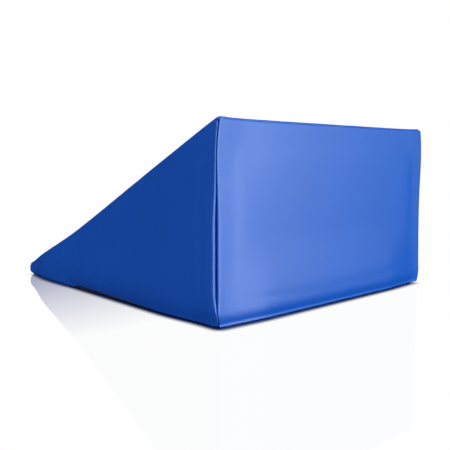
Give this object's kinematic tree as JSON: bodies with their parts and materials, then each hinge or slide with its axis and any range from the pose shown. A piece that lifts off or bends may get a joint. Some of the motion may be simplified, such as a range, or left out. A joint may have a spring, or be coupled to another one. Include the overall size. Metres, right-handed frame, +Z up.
{
  "type": "incline wedge mat",
  "caption": "Foam incline wedge in a sewn vinyl cover, with a tall back face, upright triangular sides, a thin rounded toe and a coil zip round the lower edge.",
  "frame": {"origin": "middle of the footprint on the floor", "axes": "+X across the width, +Y along the length from the tall back face to the toe, +Z up"},
  "size_m": [0.61, 0.711, 0.35],
  "materials": {
    "foam": "cut polyurethane foam, open cells",
    "vinyl": "royal blue PVC-coated polyester, smooth satin",
    "thread": "bonded polyester sewing thread",
    "zip_tape": "black woven polyester tape",
    "zip_coil": "black polyester coil",
    "zip_metal": "black enamelled zinc"
  },
  "bodies": {
    "mat": {"foam_core": "foam", "incline_panel": "vinyl", "back_panel": "vinyl", "side_panel_left": "vinyl", "side_panel_right": "vinyl", "base_panel": "vinyl", "thread_incline_left": "thread", "thread_incline_right": "thread", "thread_back_left": "thread", "thread_back_right": "thread", "thread_top_edge": "thread", "thread_toe": "thread", "thread_base_left": "thread", "thread_base_right": "thread", "thread_zip_upper": "thread", "thread_zip_lower": "thread", "zip_tape_upper": "zip_tape", "zip_tape_lower": "zip_tape", "zip_coil_upper": "zip_coil", "zip_coil_lower": "zip_coil", "zip_top_stops": "zip_metal", "zip_bottom_stop": "zip_metal"},
    "slider": {"zip_slider": "zip_metal"},
    "pull": {"zip_pull": "zip_metal"}
  },
  "joints": [
    {"name": "zip_slide", "type": "slide", "parent": "mat", "child": "slider", "axis": [0, -1, 0], "range_m": [0, 0.447]},
    {"name": "pull_flip", "type": "hinge", "parent": "slider", "child": "pull", "pos_m": [0.3021, 0.12619, 0.0054], "axis": [0, 0, 1], "range_deg": [0, 180]}
  ]
}
